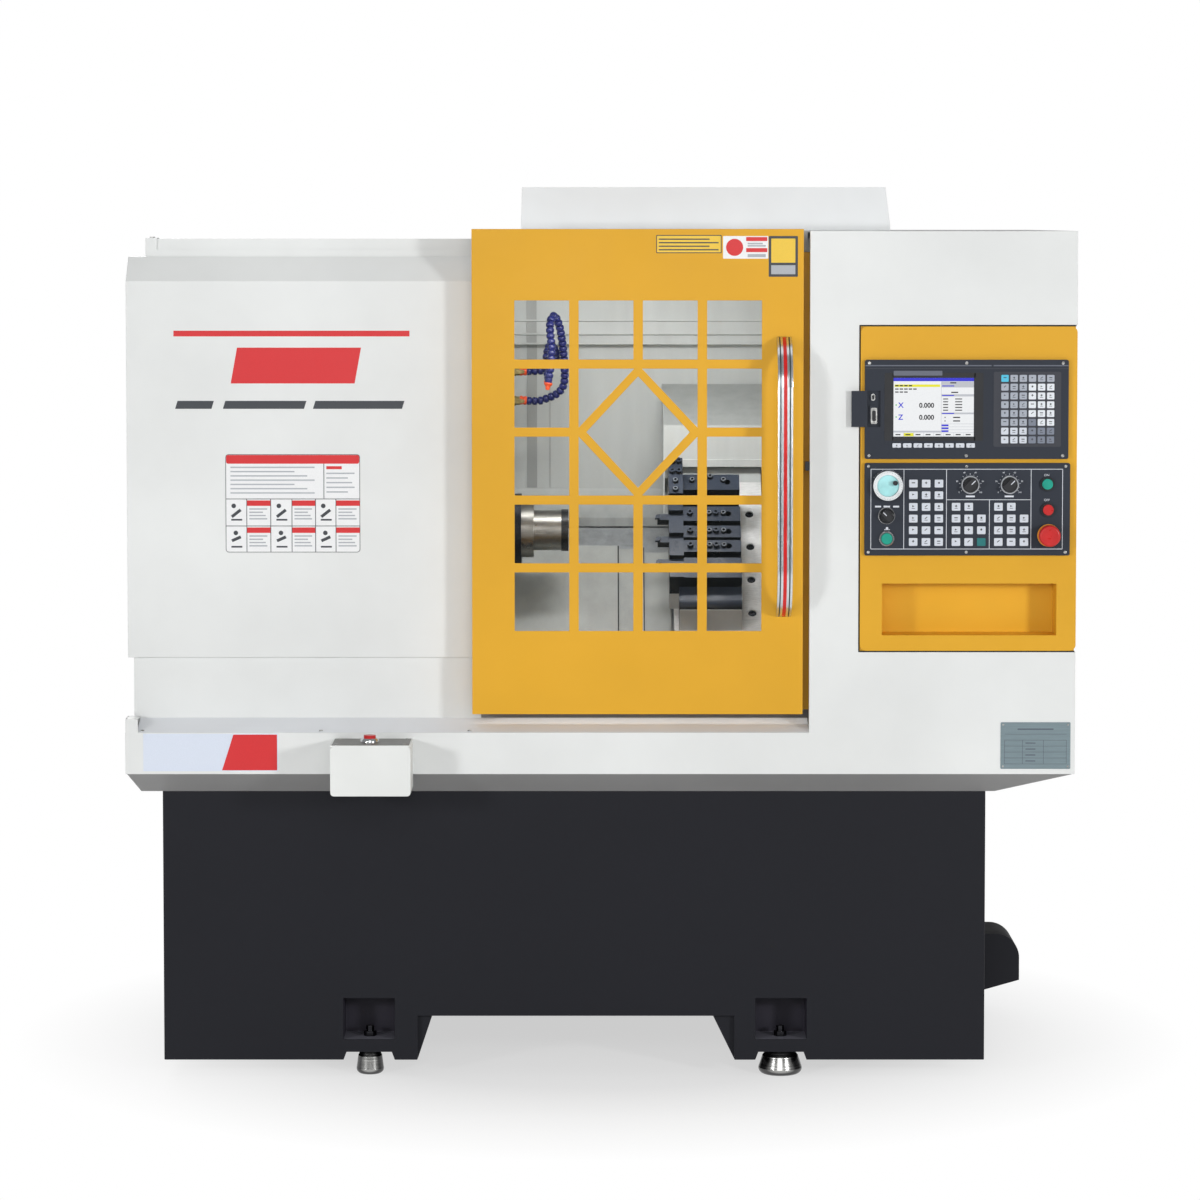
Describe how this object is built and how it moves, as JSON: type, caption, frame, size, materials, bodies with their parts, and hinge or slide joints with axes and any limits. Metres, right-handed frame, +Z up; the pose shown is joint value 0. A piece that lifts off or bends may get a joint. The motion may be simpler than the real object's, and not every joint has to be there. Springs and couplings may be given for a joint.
{
  "type": "cnc turning lathe",
  "caption": "Compact enclosed turning lathe with a sliding windowed door, gang tools on a slanted cross slide, belt-driven collet spindle and a front operator box.",
  "frame": {"origin": "middle of the machine's footprint, on the floor", "axes": "+X along the spindle to the operator's right, +Y from the front to the back, +Z up"},
  "size_m": [1.904, 1.363, 1.8072],
  "materials": {
    "base_paint": "fine textured charcoal paint",
    "white_paint": "textured off-white paint",
    "yellow_paint": "satin yellow paint",
    "grey_paint": "satin grey paint",
    "slate_panel": "fine textured slate paint",
    "stainless": "brushed sheet",
    "inner_sheet": "light grey paint",
    "machined_steel": "ground",
    "black_oxide": "oiled black oxide",
    "cast_bed": "grey painted casting",
    "clear_pane": "clear polycarbonate",
    "chrome": "polished",
    "motor_paint": "black anodised",
    "rubber_black": "matte",
    "brass": "dull",
    "hose_blue": "moulded",
    "red_plastic": "moulded",
    "green_plastic": "moulded",
    "black_plastic": "moulded",
    "foot_steel": "zinc plated"
  },
  "bodies": {
    "frame": {"base_cabinet": "base_paint", "levelling_feet": "foot_steel", "side_cowl": "base_paint", "drip_tray": "grey_paint", "front_cover": "white_paint", "door_sill": "stainless", "headstock_cover": "white_paint", "right_side_panel": "white_paint", "rear_panel": "white_paint", "roof_panel": "white_paint", "roof_hood": "white_paint", "door_surround": "grey_paint", "door_top_rail": "white_paint", "operator_box": "yellow_paint", "display_unit": "slate_panel", "control_panel": "slate_panel", "palm_button_box": "stainless", "bed_casting": "cast_bed", "headstock": "cast_bed", "drive_belt": "rubber_black", "drive_motors": "motor_paint", "way_cover_fixed": "inner_sheet", "inner_back_wall": "inner_sheet", "spindle_wall": "inner_sheet", "coolant_hoses": "hose_blue", "coolant_fittings": "brass", "coolant_unit": "motor_paint", "electrical_cabinet": "white_paint", "drive_rack": "black_plastic"},
    "door": {"sliding_door": "yellow_paint", "door_pane": "clear_pane", "door_handle": "chrome", "door_carriages": "machined_steel"},
    "spindle": {"spindle_shaft": "black_oxide", "spindle_nose": "machined_steel", "spindle_pulley": "machined_steel", "clamping_cylinder": "motor_paint"},
    "motor_pulley": {"motor_pulley": "machined_steel"},
    "z_screw": {"z_ball_screw": "machined_steel"},
    "saddle": {"saddle": "cast_bed", "x_axis_motor": "motor_paint", "x_axis_cover": "inner_sheet", "way_cover_moving": "inner_sheet"},
    "middle_cover": {"way_cover_middle": "inner_sheet"},
    "cross_slide": {"cross_slide": "machined_steel", "tool_blocks": "black_oxide", "cutting_tools": "black_oxide"},
    "x_screw": {"x_ball_screw": "machined_steel"},
    "side_door": {"side_door": "white_paint"},
    "cabinet_door": {"cabinet_door": "white_paint"},
    "estop": {"estop_button": "red_plastic"},
    "power_on": {"power_on_button": "green_plastic"},
    "power_off": {"power_off_button": "red_plastic"},
    "cycle_start": {"cycle_start_button": "green_plastic"},
    "palm_button": {"palm_button": "red_plastic"},
    "mode_selector": {"mode_selector": "black_plastic"},
    "feed_knob": {"feed_knob": "black_plastic"},
    "speed_knob": {"speed_knob": "black_plastic"},
    "handwheel": {"handwheel": "black_plastic"},
    "port_flap": {"port_flap": "slate_panel"}
  },
  "joints": [
    {"name": "door_slide", "type": "slide", "parent": "frame", "child": "door", "axis": [-1, 0, 0], "range_m": [0, 0.6]},
    {"name": "spindle_spin", "type": "hinge", "parent": "frame", "child": "spindle", "pos_m": [-0.141, -0.1685, 1.091], "axis": [1, 0, 0], "continuous": true},
    {"name": "motor_spin", "type": "hinge", "parent": "frame", "child": "motor_pulley", "pos_m": [-0.56, -0.3205, 0.715], "axis": [1, 0, 0], "continuous": true},
    {"name": "z_slide", "type": "slide", "parent": "frame", "child": "saddle", "axis": [1, 0, 0], "range_m": [-0.108, 0.09]},
    {"name": "cover_slide", "type": "slide", "parent": "frame", "child": "middle_cover", "axis": [1, 0, 0], "range_m": [-0.054, 0.045]},
    {"name": "z_screw_turn", "type": "hinge", "parent": "frame", "child": "z_screw", "pos_m": [0, 0.01117, 0.90933], "axis": [1, 0, 0], "range_deg": [-3890, 3242]},
    {"name": "x_slide", "type": "slide", "parent": "saddle", "child": "cross_slide", "axis": [0, 0.7071, 0.7071], "range_m": [-0.12, 0.06]},
    {"name": "x_screw_turn", "type": "hinge", "parent": "saddle", "child": "x_screw", "pos_m": [0.25, -0.06802, 0.98852], "axis": [0, 0.7071, 0.7071], "range_deg": [-4322, 2162]},
    {"name": "side_door_hinge", "type": "hinge", "parent": "frame", "child": "side_door", "pos_m": [-0.9505, 0.129, 1.23], "axis": [0, 0, -1], "range_deg": [0, 110]},
    {"name": "cabinet_door_hinge", "type": "hinge", "parent": "frame", "child": "cabinet_door", "pos_m": [-0.55865, 0.68015, 1.128], "axis": [0, 0, 1], "range_deg": [0, 120]},
    {"name": "estop_press", "type": "slide", "parent": "frame", "child": "estop", "axis": [0, 1, 0], "range_m": [0, 0.004], "stiffness_N_per_m": 600, "springref_m": -0.003},
    {"name": "power_on_press", "type": "slide", "parent": "frame", "child": "power_on", "axis": [0, 1, 0], "range_m": [0, 0.004], "stiffness_N_per_m": 600, "springref_m": -0.003},
    {"name": "power_off_press", "type": "slide", "parent": "frame", "child": "power_off", "axis": [0, 1, 0], "range_m": [0, 0.004], "stiffness_N_per_m": 600, "springref_m": -0.003},
    {"name": "cycle_start_press", "type": "slide", "parent": "frame", "child": "cycle_start", "axis": [0, 1, 0], "range_m": [0, 0.004], "stiffness_N_per_m": 600, "springref_m": -0.003},
    {"name": "palm_press", "type": "slide", "parent": "frame", "child": "palm_button", "axis": [0, 0, -1], "range_m": [0, 0.005], "stiffness_N_per_m": 2000, "springref_m": -0.003},
    {"name": "mode_turn", "type": "hinge", "parent": "frame", "child": "mode_selector", "pos_m": [0.5722, -0.5785, 1.1504], "axis": [0, 1, 0], "range_deg": [0, 90]},
    {"name": "feed_turn", "type": "hinge", "parent": "frame", "child": "feed_knob", "pos_m": [0.7386, -0.5785, 1.2128], "axis": [0, 1, 0], "range_deg": [-220, 50]},
    {"name": "speed_turn", "type": "hinge", "parent": "frame", "child": "speed_knob", "pos_m": [0.817, -0.5785, 1.2128], "axis": [0, 1, 0], "range_deg": [-220, 50]},
    {"name": "handwheel_turn", "type": "hinge", "parent": "frame", "child": "handwheel", "pos_m": [0.574, -0.5785, 1.2112], "axis": [0, 1, 0], "continuous": true},
    {"name": "port_flap_hinge", "type": "hinge", "parent": "frame", "child": "port_flap", "pos_m": [0.531, -0.5805, 1.364], "axis": [0, 0, 1], "range_deg": [0, 180]}
  ],
  "couplings": [
    {"joint": "motor_spin", "follows": "spindle_spin", "ratio": 1.4},
    {"joint": "cover_slide", "follows": "z_slide", "ratio": 0.5},
    {"joint": "z_screw_turn", "follows": "z_slide", "rad_per_m": 628.32},
    {"joint": "x_screw_turn", "follows": "x_slide", "rad_per_m": 628.32}
  ]
}
